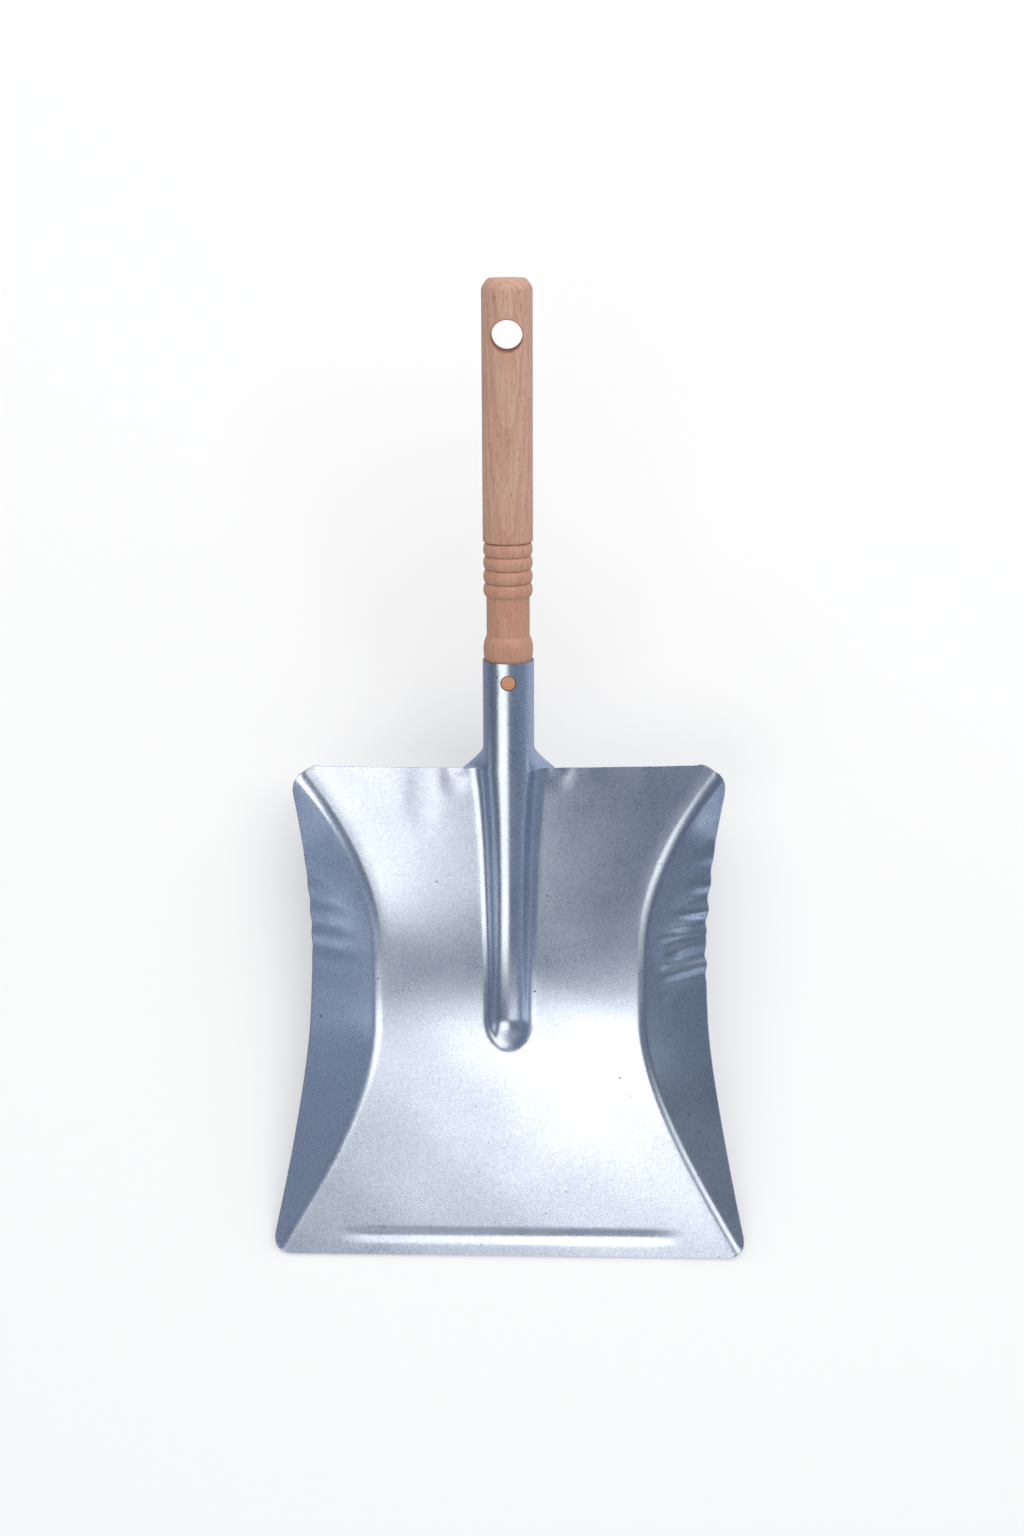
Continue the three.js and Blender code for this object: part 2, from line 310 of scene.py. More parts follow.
# %% [markdown]
# ### Ripples in the side walls
#
# A flange bent along an inward curve is squeezed lengthwise, and thin metal answers by buckling into waves
# that are nothing at the crease and largest at the free edge. A sine wave in a soft window does the same.
# Random noise would not: real buckles are evenly spaced and lie side by side.

# %% Ripples of the side walls
RIPPLE_SLANT = 0.31
UP_WALL = (9.0, 16.0)  # a ripple grows from here over this length, measured from the crease
AT_EDGE = (16.0, 20.0)

# where it grows, height, middle and half-length of its window, length of a wave, and shift of the wave
RIGHT_RIPPLES = (
    (UP_WALL, 0.62, -98.0, 33.0, 10.5, 2.0),
    (UP_WALL, 0.16, -92.0, 25.0, 6.3, 0.0),
    (AT_EDGE, 0.85, -72.0, 70.0, 15.5, -3.0),
)
LEFT_RIPPLES = (
    (UP_WALL, 0.15, -92.0, 30.0, 12.5, 0.0),
    (AT_EDGE, 0.36, -66.0, 66.0, 14.0, 5.0),
)


def ripples(out, t, table):
    """Sum of sine waves along the wall, each in a soft window and growing outwards from the crease."""
    along = t - RIPPLE_SLANT * out
    total = 0.0 * along
    for (start, length), height, middle_t, half, wave, shift in table:
        window = smooth((out - start) / length) * bump((along - middle_t) / half)
        total += height * window * np.sin(2 * np.pi * (along + shift) / wave)
    return total


def wall_ripples(s, t):
    """Ripples of both side walls, slanting to the rear: the right wall has far more than the left."""
    tilt, start, length = fold_at(t)
    out = np.abs(s) - rib_at(t)["extra"] - start
    return np.where(s > 0, ripples(out, t, RIGHT_RIPPLES), ripples(out, t, LEFT_RIPPLES))


ripple_place = np.linspace(-160.0, 0.0, 200)
for side in (-1.0, 1.0):
    ripple_height = np.abs(wall_ripples(side * (side_at(ripple_place) - 1.0), ripple_place)).max()
    print("ripples", "left" if side < 0 else "right", round(float(ripple_height), 2), "mm at the edge")

# %% [markdown]
# ### The slow shape of the floor
#
# Flat sheet is never quite flat after pressing. The rear floor sags a little towards both walls, the whole
# sheet waves by a few hundredths of a millimetre, and there are a few soft dents from handling. None of
# this can be seen as shape, but bright metal shows it at once in how its reflections bend.

# %% Slow shapes of the whole sheet
FLOOR_SAG = 2.4
LIFT = 0.52
LIFT_START = -95.0
LIFT_LENGTH = 65.0
WAVES = ((90.0, 0.4, 0.0), (67.0, 1.9, 1.3), (52.0, 2.8, 4.0), (41.0, 0.9, 2.2))  # length, direction, phase
WAVE_SHARE = 0.0004  # height of a wave as a share of its length

# place across and along, half-size across and along, and depth; a negative depth stands up
DENTS = (
    (29.0, -3.0, 9.0, 12.0, 0.5),
    (-32.0, -5.0, 9.0, 12.0, 0.35),
    (-47.0, -12.0, 11.0, 26.0, 0.32),
    (58.0, -2.0, 14.0, 12.0, 0.3),
    (-78.0, -1.0, 16.0, 9.0, 0.3),
    (82.0, -93.0, 8.0, 9.0, -0.55),
)


def waves(s, t):
    """Slow, very shallow waviness of the whole sheet: four crossed sine waves of 40 to 90 mm."""
    total = np.zeros_like(s)
    for length, turn, phase in WAVES:
        across = s * math.cos(turn) + t * math.sin(turn)
        total += length * np.sin(2 * np.pi * across / length + phase)
    return WAVE_SHARE * total


def dents(s, t):
    """Soft dents: each a round bump of -depth over an ellipse."""
    total = np.zeros_like(s)
    for at_s, at_t, half_s, half_t, depth in DENTS:
        total -= depth * bump(np.minimum(np.hypot((s - at_s) / half_s, (t - at_t) / half_t), 1.0))
    return total


def sag(s, t):
    """Sag of the rear floor to both sides: -FLOOR_SAG * (s / 75)^2 behind the waist, none up the walls."""
    tilt, start, length = fold_at(t)
    reach = np.minimum(np.abs(s), start)
    up_wall = smooth((np.abs(s) - start - length) / 30.0)
    return -FLOOR_SAG * (reach / 75.0) ** 2 * smooth((t + 112.0) / 60.0) * (1 - up_wall)


def relief(s, t):
    """Height of the real sheet over the drawn one, along its normal, in millimetres.

    It fades out at the neck, where the wide grid and the narrow one share their points. The front is
    lifted a little, so that the groove behind the lip doesn't reach below the floor that the pan lies on.
    """
    beside_neck = smooth((np.abs(s) - 27.0) / 7.0)
    shown = 1 - (1 - smooth(-t / 6.0)) * (1 - beside_neck)
    height = groove(s, t) + wall_ripples(s, t) + waves(s, t) + sag(s, t) + dents(s, t)
    return shown * height + LIFT * smooth((LIFT_START - t) / LIFT_LENGTH)


print("floor sags", FLOOR_SAG, "mm at 75 mm from the middle")

# %% [markdown]
# ## The pan as one mesh
#
# The sheet is laid out as two grids that share a row: a wide one for the pan and a narrow one for the
# neck. Columns follow the rib, the floor, the fold and the wall, so that no crease ever cuts across a
# face. The round hole for the peg is made in the grid itself: square rings of grid points around it are
# pulled into circles, and the middle is left out. Then Solidify gives the sheet its thickness and a
# fine bevel takes the sharpness off its sheared edges, as a raw edge looks in real life.

# %% Rows of the grid
RIB_COLUMNS = 30
FLOOR_COLUMNS = 34
FOLD_COLUMNS = 8
WALL_COLUMNS = 26
LEAST_STRIP = 0.5
CELL = (math.pi * TUBE - SEAM_GAP / 2) / RIB_COLUMNS


def corner_steps(radius, count):
    """Distances from an edge that are equal steps round a corner's arc."""
    return radius * (1 - np.cos(np.linspace(0, np.pi / 2, count + 1)))


pan_rows = np.unique(
    np.concatenate(
        [
            LIP + corner_steps(FRONT_CORNER, 8),
            np.linspace(LIP + FRONT_CORNER, NOSE - NOSE_LENGTH, 66),
            np.linspace(NOSE - NOSE_LENGTH, NOSE, 20),
            np.linspace(NOSE, -REAR_CORNER, 90),
            -corner_steps(REAR_CORNER, 10),
        ]
    ).round(5)
)
peg_rows = PEG + CELL * np.arange(-7, 8)
neck_rows = np.concatenate(
    [ROLL_LENGTH * np.linspace(0.06, 1, 14) ** 1.6, np.linspace(ROLL_LENGTH + 1.4, peg_rows[0] - 1.2, 15)]
)
neck_rows = np.concatenate([neck_rows, peg_rows, [MOUTH - 0.35, MOUTH]])


print(len(pan_rows), "rows along the pan and", len(neck_rows), "along the neck")

# %% [markdown]
# ### Columns
#
# The columns are laid so that one of them always runs along the rib's foot, one along each side of the
# fold, and one along the free edge, however these swing in and out.

# %% Columns of the grid
def strips(*stretches):
    """Columns through stretches given as (from, to, count), for arrays of rows."""
    columns = [stretches[0][0][:, None]]
    for start, end, count in stretches:
        share = np.arange(1, count + 1) / count
        columns.append(start[:, None] + (end - start)[:, None] * share)
    return np.concatenate(columns, axis=1)


def pan_columns(t):
    """s of each column on one half of the pan: rib, floor, fold, wall."""
    rib = rib_at(t)
    tilt, start, length = fold_at(t)
    side = side_at(t) + rib["extra"]
    fold_end = np.minimum(start + length + rib["extra"], side - LEAST_STRIP)
    fold_start = np.minimum(start + rib["extra"], fold_end - LEAST_STRIP)
    foot = np.maximum(rib["foot"], NOSE_HALF_WIDTH) + ROOT * np.exp(t / ROOT_FADE)
    return strips(
        (0 * t, foot, RIB_COLUMNS),
        (foot, fold_start, FLOOR_COLUMNS),
        (fold_start, fold_end, FOLD_COLUMNS),
        (fold_end, side, WALL_COLUMNS),
    )


def both_sides(half):
    """Mirrors the columns of one half to the other."""
    return np.concatenate([-half[:, :0:-1], half], axis=1)


print("columns across half the pan", pan_columns(pan_rows[:1]).shape[1])

# %% [markdown]
# ### The peg's hole
#
# A boolean cut would leave long thin faces on a curved sheet, and they would show in its reflections. So
# the grid itself is pulled open: the square ring of points three cells from the centre becomes the
# hole's circle, and the rings outside it ease back to squares.

# %% Open the grid for the peg
HOLE_RING = 3.0
LAST_PULLED_RING = 6.0


def open_peg_hole(s, t):
    """Pulls square rings of grid points round the peg's place into circles.

    A ring's number is the larger of |column| and |row| from the centre.
    """
    u = s / CELL
    v = (t - PEG) / CELL
    ring = np.maximum(np.abs(u), np.abs(v))
    pull = np.clip((LAST_PULLED_RING - ring) / (LAST_PULLED_RING - HOLE_RING), 0.0, 1.0)
    scale = PEG_HOLE_RADIUS / (np.maximum(np.hypot(u, v), 1e-6) * CELL)
    s_round = s * scale
    t_round = PEG + (t - PEG) * scale
    return s + (s_round - s) * pull, t + (t_round - t) * pull, ring


pan_s = both_sides(pan_columns(pan_rows))
pan_t = np.broadcast_to(pan_rows[:, None], pan_s.shape)
neck_s = both_sides(strips((0 * neck_rows, neck_at(neck_rows), RIB_COLUMNS)))
neck_t = np.broadcast_to(neck_rows[:, None], neck_s.shape)
neck_s, neck_t, neck_ring = open_peg_hole(neck_s, neck_t)
print("pan grid", pan_s.shape, "neck grid", neck_s.shape)

# %% [markdown]
# ### From grid to points
#
# Each grid point is placed on the drawn sheet, then pushed along the sheet's normal by its relief. The two
# grids share the row at the rear edge, so the pan runs into the socket without a seam.

# %% Points of the sheet, with their relief
def normals_of(points):
    """Unit normals of a grid of points: cross product of its two directions."""
    along = np.gradient(points, axis=0)
    across = np.gradient(points, axis=1)
    normal = np.cross(across, along)
    return normal / np.linalg.norm(normal, axis=-1, keepdims=True)


def quads(numbers, keep=None):
    """Faces of a grid of point numbers; keep says which cells stay."""
    cells = np.stack([numbers[:-1, :-1], numbers[:-1, 1:], numbers[1:, 1:], numbers[1:, :-1]], axis=-1)
    return cells.reshape(-1, 4) if keep is None else cells[keep]


pan_points = on_sheet(pan_s, pan_t)
pan_points = pan_points + normals_of(pan_points) * relief(pan_s, pan_t)[..., None]
skewed_y, skewed_z = middle(out_of_square(pan_s, pan_t))
straight_y, straight_z = middle(pan_t)
pan_points[..., 1] += skewed_y - straight_y
neck_points = on_sheet(neck_s, neck_t)

pan_numbers = np.arange(pan_s.size).reshape(pan_s.shape)
neck_numbers = pan_s.size + np.arange(neck_s.size).reshape(neck_s.shape)
middle_column = pan_s.shape[1] // 2
shared = pan_numbers[-1:, middle_column - RIB_COLUMNS : middle_column + RIB_COLUMNS + 1]
neck_numbers_all = np.concatenate([shared, neck_numbers])
ring = np.concatenate([neck_ring[:1] * 0 + 99, neck_ring])
cell_ring = np.maximum(
    np.maximum(ring[:-1, :-1], ring[:-1, 1:]), np.maximum(ring[1:, 1:], ring[1:, :-1])
)
sheet_faces = np.concatenate([quads(pan_numbers), quads(neck_numbers_all, cell_ring > HOLE_RING + 0.01)])
sheet_points = np.concatenate([pan_points.reshape(-1, 3), neck_points.reshape(-1, 3)])
print("sheet points", len(sheet_points), "faces", len(sheet_faces))

# %% [markdown]
# ### Thickness and sheared edges
#
# The points so far are the middle of the sheet. Solidify adds half of the thickness on each side, as a
# coil of sheet has the same thickness everywhere, and a bevel of a tenth of a millimetre rounds the rim.

# %% A mesh object from arrays
def make_piece(name, points, faces):
    """A smooth mesh object at the origin, from points in millimetres and faces; unused points are dropped."""
    used, renumbered = np.unique(faces, return_inverse=True)
    mesh = bpy.data.meshes.new(name)
    mesh.from_pydata((points[used] * MM).tolist(), [], renumbered.reshape(faces.shape).tolist())
    mesh.validate()
    mesh.shade_smooth()
    piece = bpy.data.objects.new(name, mesh)
    bpy.context.scene.collection.objects.link(piece)
    return piece


pan = make_piece("steel_sheet", sheet_points, sheet_faces)

thickness = pan.modifiers.new("thickness", "SOLIDIFY")
thickness.thickness = SHEET * MM
thickness.offset = 0.0

edge = pan.modifiers.new("sheared_edge", "BEVEL")
edge.width = 0.12 * MM
edge.segments = 2
edge.limit_method = "ANGLE"
edge.angle_limit = math.radians(60)
edge.harden_normals = True

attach(pan, "root")
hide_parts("pan")
print("steel sheet", len(pan.data.polygons), "faces before its thickness")

# %% [markdown]
# ## The turned handle
#
# The handle was turned on a lathe, so it is one profile carried round an axis: a tenon that hides in the
# socket, a round bulb at the socket's mouth, a slim neck, four beads, a plain grip and a rounded end.
# The profile is worked out from the same few sizes as the working model, with nearly round beads.

# %% Sizes of the handle, along the same middle line, in millimetres
TIP = 232.6
GRIP_RADIUS = 11.9
TIP_CHAMFER_WIDTH = 3.6
TIP_CHAMFER_HEIGHT = 5.0
CHAMFER_EASE = 1.5
GRIP_END = 110.6
BEAD_PITCH = 6.45
BEADS = 4
BEAD_RADIUS = 11.75
GROOVE_RADIUS = 10.4
NECK_RADIUS = 10.3
BULB = 59.4
BULB_RADIUS = 11.9
TENON_RADIUS = 11.1
TENON_START = 53.0
TENON_END = 18.0
HANG_HOLE = 207.0
HANG_HOLE_RADIUS = 7.2
PEG_BOTTOM = 2.5
print("grip", 2 * GRIP_RADIUS, "mm thick,", round(TIP - GRIP_END, 1), "mm long")

# %% [markdown]
# ### The profile
#
# The bulb is a sine swelling, made a little fuller by raising it to a power below one. A bead is the root
# of a sine, which is nearly a half circle. The end is chamfered and eased by hand with sandpaper.

# %% Profile of the handle
BULB_FULLNESS = 0.75
GRIP_EDGE = 0.9


def handle_profile():
    """Radius and place along the axis, from the tenon's hidden end to the tip."""
    bulb_end = 2 * BULB - TENON_START
    beads_start = GRIP_END - BEADS * BEAD_PITCH
    u = np.linspace(0, 1, 40)
    low = TENON_RADIUS + (NECK_RADIUS - TENON_RADIUS) * smooth(u)
    bulb = low + (BULB_RADIUS - low) * np.sin(np.pi * u).clip(0) ** BULB_FULLNESS
    stretches = [
        ([0.0, TENON_RADIUS - 1.0, TENON_RADIUS], [TENON_END, TENON_END, TENON_END + 1.0]),
        (np.full(12, TENON_RADIUS), np.linspace(TENON_END + 3, TENON_START - 1, 12)),
        (bulb, TENON_START + (bulb_end - TENON_START) * u),
        (np.full(14, NECK_RADIUS), np.linspace(bulb_end + 0.6, beads_start - 0.8, 14)),
    ]
    bead = np.linspace(0, 1, 17)[:-1]
    swell = np.sqrt(np.sin(np.pi * bead).clip(0))
    for number in range(BEADS):
        bead_radius = GROOVE_RADIUS + (BEAD_RADIUS - GROOVE_RADIUS) * swell
        stretches.append((bead_radius, beads_start + (number + bead) * BEAD_PITCH))
    arc = np.linspace(0, np.pi / 2, 14)
    turn = np.linspace(0.0, np.pi / 2, 16)
    inwards = 1 - np.cos(turn).clip(0) ** CHAMFER_EASE
    below = 1 - np.sin(turn) ** CHAMFER_EASE
    stretches += [
        ([GROOVE_RADIUS], [GRIP_END]),
        (GRIP_RADIUS - GRIP_EDGE * (1 - np.sin(arc)), GRIP_END + 0.25 + GRIP_EDGE * (1 - np.cos(arc))),
        (np.full(60, GRIP_RADIUS), np.linspace(GRIP_END + 2.5, TIP - TIP_CHAMFER_HEIGHT - 1, 60)),
        (GRIP_RADIUS - TIP_CHAMFER_WIDTH * inwards, TIP - TIP_CHAMFER_HEIGHT * below),
        ([4.0, 0.0], [TIP, TIP]),
    ]
    radius = np.concatenate([np.asarray(r, float) for r, _ in stretches])
    along = np.concatenate([np.asarray(a, float) for _, a in stretches])
    return radius, along


handle_radius, handle_along = handle_profile()
print("handle profile", len(handle_radius), "points")

# %% [markdown]
# ### Turning a profile
#
# A lathe makes every section round, so one list of radii is enough. The rings are closed on themselves and
# each end is closed by a fan of triangles to one point on the axis, so the solid has no seam and no hole.

# %% Turn the handle
def to_frame(x, along, up, t=0.0):
    """Points at x sideways, along the handle's axis from t, and up square to it, in the pan's frame."""
    y, z = middle(t)
    turned_y = y + along * math.cos(RISE) - up * math.sin(RISE)
    turned_z = z + along * math.sin(RISE) + up * math.cos(RISE)
    return np.stack([x + 0 * turned_y, turned_y, turned_z], axis=-1)


def turned(name, radius, along, sides, place):
    """A closed turned solid: a profile whose two ends are on the axis, carried round it."""
    angle = np.linspace(0, 2 * np.pi, sides, endpoint=False)
    rings = place(radius[1:-1, None] * np.sin(angle), along[1:-1, None], radius[1:-1, None] * np.cos(angle))
    ends = place(np.zeros(2), along[[0, -1]], np.zeros(2))
    count = len(radius) - 2
    numbers = np.arange(count * sides).reshape(count, sides)
    closed = np.concatenate([numbers, numbers[:, :1]], axis=1)
    faces = quads(closed)
    first = count * sides
    caps = [
        np.stack([np.full(sides, first), closed[0, 1:], closed[0, :-1]], axis=-1),
        np.stack([np.full(sides, first + 1), closed[-1, :-1], closed[-1, 1:]], axis=-1),
    ]
    points = np.concatenate([rings.reshape(-1, 3), ends])
    mesh = bpy.data.meshes.new(name)
    every_face = faces.tolist() + np.concatenate(caps).tolist()
    mesh.from_pydata((points * MM).tolist(), [], every_face)
    mesh.shade_smooth()
    piece = bpy.data.objects.new(name, mesh)
    bpy.context.scene.collection.objects.link(piece)
    return piece


handle = turned("beech_handle", handle_radius, handle_along, 96, to_frame)
print("handle", len(handle.data.polygons), "faces")

# %% [markdown]
# ## Drilling the handle
#
# The hanging hole goes straight through near the tip, and a small blind hole takes the peg. They are
# drilled the way the workshop does it, with round cutters and a boolean cut, because the handle is round
# and the edge of a cross hole in it is a saddle curve that no simple grid follows.

# %% Drill the two holes
def cutter(name, t, radius, bottom, top):
    """A round bar square to the handle at t, from one height over its axis to another."""
    profile_radius = np.array([0.0, radius, radius, 0.0])
    profile_along = np.array([bottom, bottom, top, top])
    return turned(name, profile_radius, profile_along, 64, lambda x, a, u: to_frame(x, t - u, a + 0 * u))


def drill(piece, *tools):
    """Cuts the tools out of the piece, bakes the result into its mesh and removes the tools."""
    for tool in tools:
        hole = piece.modifiers.new("hole", "BOOLEAN")
        hole.object = tool
        hole.operation = "DIFFERENCE"
        hole.solver = "EXACT"
    graph = bpy.context.evaluated_depsgraph_get()
    piece.data = bpy.data.meshes.new_from_object(piece.evaluated_get(graph))
    piece.modifiers.clear()
    for tool in tools:
        bpy.data.objects.remove(tool)


drill(
    handle,
    cutter("drill_hang", HANG_HOLE, HANG_HOLE_RADIUS, -20.0, 20.0),
    cutter("drill_peg", PEG, PEG_RADIUS + 0.15, PEG_BOTTOM - 0.15, 20.0),
)
handle.data.set_sharp_from_angle(angle=math.radians(38))
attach(handle, "root")
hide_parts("handle")
print("drilled handle", len(handle.data.polygons), "faces")

# %% [markdown]
# ## The locking peg
#
# A short dowel of beech is driven through the hole in the socket into the tenon, and cut off flush. Its
# end is a small disc of end grain, slightly domed, sitting a hair below the steel.

# %% Peg
PEG_TOP = TUBE + 0.1
PEG_EDGE = 0.35
PEG_DOME = 0.12


def peg_profile():
    """Radius and height: straight sides, a small round edge and a low dome."""
    arc = np.linspace(0, np.pi / 2, 7)
    flat = PEG_RADIUS - PEG_EDGE
    radius = np.concatenate([[0.0, PEG_RADIUS], flat + PEG_EDGE * np.cos(arc)])
    height = np.concatenate([[PEG_BOTTOM, PEG_BOTTOM], PEG_TOP - PEG_EDGE + PEG_EDGE * np.sin(arc)])
    inner = np.array([2.0, 1.0, 0.0])
    dome = PEG_TOP + PEG_DOME * (1 - (inner / flat) ** 2)
    return np.concatenate([radius, inner]), np.concatenate([height, dome])


peg_radius, peg_height = peg_profile()
peg = turned("beech_peg", peg_radius, peg_height, 48, lambda x, a, u: to_frame(x, PEG - u, a + 0 * u))
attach(peg, "root")
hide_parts("locking_peg")
print("peg", len(peg.data.polygons), "faces")

# %% [markdown]
# ## Helpers for the materials
#
# Colours are written the way a paint chart gives them, as sRGB hex codes, and turned to linear light in
# one place. One small function adds a node, sets it and joins its inputs, so that a material reads as a
# list of steps. Wiring by hand in the editor would look the same, but could not be read or changed here.

# %% Material helpers
def rgb(code):
    """Linear colour of an sRGB hex code."""
    parts = [int(code[i : i + 2], 16) / 255 for i in (1, 3, 5)]
    return tuple(p / 12.92 if p <= 0.04045 else ((p + 0.055) / 1.055) ** 2.4 for p in parts) + (1.0,)


def node(tree, kind, links=None, **settings):
    """Adds a node; settings are its properties, links maps its inputs to sockets or values."""
    made = tree.nodes.new(kind)
    for key, value in settings.items():
        setattr(made, key, value)
    for key, value in (links or {}).items():
        if isinstance(value, bpy.types.NodeSocket):
            tree.links.new(value, made.inputs[key])
        else:
            made.inputs[key].default_value = value
    return made


def new_material(name):
    """An empty material with its shader joined to its output."""
    material = bpy.data.materials.new(name)
    material.use_nodes = True
    tree = material.node_tree
    return material, tree, tree.nodes["Principled BSDF"]


print("white paper is", [round(c, 3) for c in rgb("#f7f7f6")[:3]], "in linear light")

# %% [markdown]
# ## Galvanised steel
#
# The sheet was dipped in molten zinc before it was pressed. Zinc gives a bluish white metal, not as clear
# as chrome, because the coating freezes in small crystals. On this bright finish the crystals are too
# fine to see one by one, so they show as a soft speckle, as slow patches of slightly different gloss, and
# as a few dark pits where the zinc did not take. A flat grey would look like plastic, so each of the three
# gets its own noise, at its own size in millimetres.

# %% Galvanised steel: zinc-coated sheet, hot dipped, then pressed
ZINC_LIGHT = "#e9eff8"
ZINC_DARK = "#b0bdd2"
PIT_COLOUR = "#6d7786"
SPECKLE = 0.5 * MM  # the real one is nearer 0.3 mm, too fine to show here, so it is drawn this coarse
CLOUD = 2.0 * MM
PATCH = 26 * MM
PIT = 7.5 * MM
PIT_REACH = 0.085  # largest radius of a pit, in cells

zinc, tree, shader = new_material("galvanised_steel_sheet")
place = node(tree, "ShaderNodeTexCoord").outputs["Object"]

speckle, clouds, patches = (
    node(
        tree,
        "ShaderNodeTexNoise",
        {"Vector": place, "Scale": 1 / size, "Detail": detail, "Roughness": roughness},
    ).outputs["Fac"]
    for size, detail, roughness in ((SPECKLE, 2.0, 0.6), (CLOUD, 2.0, 0.6), (PATCH, 3.0, 0.55))
)
mottle = node(tree, "ShaderNodeMath", {0: clouds, 1: 0.2, 2: speckle}, operation="MULTIPLY_ADD")
tone = node(tree, "ShaderNodeMapRange", {"Value": mottle.outputs[0], "From Min": 0.4, "From Max": 0.8})
coat = node(
    tree,
    "ShaderNodeMix",
    {0: tone.outputs["Result"], 6: rgb(ZINC_DARK), 7: rgb(ZINC_LIGHT)},
    data_type="RGBA",
)
print("speckle", SPECKLE / MM, "mm, clouds", CLOUD / MM, "mm, patches", PATCH / MM, "mm")

# %% [markdown]
# ### Pits, gloss and crystals
#
# A pit is a small round spot in a Voronoi cell. The slow patches decide how large it is, and over half of
# the sheet that is nothing, so pits come in loose groups as they do where a coil was handled wet. The same
# patches change the gloss a little, and the speckle adds to it, because a crystal that faces another way
# also shines another way.

# %% Pits, gloss and crystals of the zinc
pit_shape = node(tree, "ShaderNodeTexVoronoi", {"Vector": place, "Scale": 1 / PIT})
pit_size = node(
    tree,
    "ShaderNodeMapRange",
    {"Value": patches, "From Min": 0.42, "From Max": 0.7, "To Min": 0.0, "To Max": PIT_REACH},
)
pit = node(
    tree,
    "ShaderNodeMath",
    {0: pit_shape.outputs["Distance"], 1: pit_size.outputs["Result"]},
    operation="LESS_THAN",
)
pitted = node(
    tree, "ShaderNodeMix", {0: pit.outputs[0], 6: coat.outputs[2], 7: rgb(PIT_COLOUR)}, data_type="RGBA"
)
tree.links.new(pitted.outputs[2], shader.inputs["Base Color"])

dull = node(
    tree,
    "ShaderNodeMapRange",
    {"Value": patches, "From Min": 0.3, "From Max": 0.7, "To Min": 0.22, "To Max": 0.27},
)
grainy = node(
    tree, "ShaderNodeMath", {0: speckle, 1: 0.10, 2: dull.outputs["Result"]}, operation="MULTIPLY_ADD"
)
tree.links.new(grainy.outputs[0], shader.inputs["Roughness"])
crystals = node(tree, "ShaderNodeBump", {"Height": speckle, "Strength": 0.4, "Distance": 0.005 * MM})
tree.links.new(crystals.outputs["Normal"], shader.inputs["Normal"])
shader.inputs["Metallic"].default_value = 1.0
pan.data.materials.append(zinc)
print("pits up to", round(2 * PIT_REACH * PIT / MM, 1), "mm across")

# %% [markdown]
# ## Beech
#
# Beech is a pale, slightly pink wood with very fine straight grain and short dark flecks, the rays, which
# is how it is told from birch. Turning cuts through the growth rings at a slant, so they show as faint
# nested arches on the grip. All three run along the stick, so the pattern is first turned to the handle's
# own direction and then stretched along it. An image of wood would repeat and would need unwrapping, and
# it would not know where the holes cut through; a pattern in space cuts through the wood like real grain.

# %% Beech: turned, sanded and left raw
BEECH_LIGHT = "#d0a995"
BEECH_MIDDLE = "#bd907b"
BEECH_DARK = "#94634b"
RING_SPACING = 2.4 * MM
RAY = 0.62 * MM


def growth_rings(tree, along_wood, under):
    """Faint dark late wood: rings round an axis that leans a little from the stick's own."""
    slant = {"Vector": along_wood, "Rotation": (0.05, 0.0, 0.03), "Location": (0.004, 0.0, 0.019)}
    slanted = node(tree, "ShaderNodeMapping", slant).outputs["Vector"]
    rings = node(
        tree,
        "ShaderNodeTexWave",
        {
            "Vector": slanted,
            "Scale": math.tau / (20 * RING_SPACING),
            "Distortion": 1.2,
            "Detail": 2.0,
            "Detail Scale": 1.2,
        },
        wave_type="RINGS",
        rings_direction="Y",
        wave_profile="SAW",
    )
    late = {"Value": rings.outputs["Fac"], "From Min": 0.45, "From Max": 1.0, "To Min": 0.0, "To Max": 0.24}
    amount = node(tree, "ShaderNodeMapRange", late).outputs["Result"]
    mixed = node(tree, "ShaderNodeMix", {0: amount, 6: under, 7: rgb(BEECH_DARK)}, data_type="RGBA")
    return mixed.outputs[2]


def rays(tree, along_wood, under):
    """Short dark flecks, six times as long as they are wide."""
    short = node(tree, "ShaderNodeMapping", {"Vector": along_wood, "Scale": (1.0, 0.16, 1.0)})
    spots = {"Vector": short.outputs["Vector"], "Scale": 1 / RAY, "Detail": 1.0, "Roughness": 0.5}
    flecks = node(tree, "ShaderNodeTexNoise", spots).outputs["Fac"]
    only_peaks = {"Value": flecks, "From Min": 0.63, "From Max": 0.7, "To Min": 0.0, "To Max": 0.55}
    amount = node(tree, "ShaderNodeMapRange", only_peaks).outputs["Result"]
    mixed = node(tree, "ShaderNodeMix", {0: amount, 6: under, 7: rgb(BEECH_DARK)}, data_type="RGBA")
    return mixed.outputs[2]


print("growth rings", RING_SPACING / MM, "mm apart, rays", RAY / MM, "mm wide")

# %% [markdown]
# ### Where the handle was worked and held
#
# Freshly bored end grain is darker and redder than a sanded side, so the wall of the hanging hole and a
# thin ring round its mouth take that colour. The wood is also warmer near the socket, where a hand never
# rubs it clean.

# %% Bored hole and warm end
CUT_WOOD = "#a8623c"
BEECH_WARM = "#b47a5c"


def warm_end(tree, along_wood, hole, under):
    """Warmer wood from 75 to 115 mm before the hole, towards the socket."""
    along = node(tree, "ShaderNodeSeparateXYZ", {"Vector": along_wood}).outputs["Y"]
    near, far = -hole[1] - 75 * MM, -hole[1] - 115 * MM
    share = {"Value": along, "From Min": near, "From Max": far, "To Max": 0.42}
    amount = node(tree, "ShaderNodeMapRange", share).outputs["Result"]
    mixed = node(tree, "ShaderNodeMix", {0: amount, 6: under, 7: rgb(BEECH_WARM)}, data_type="RGBA")
    return mixed.outputs[2]


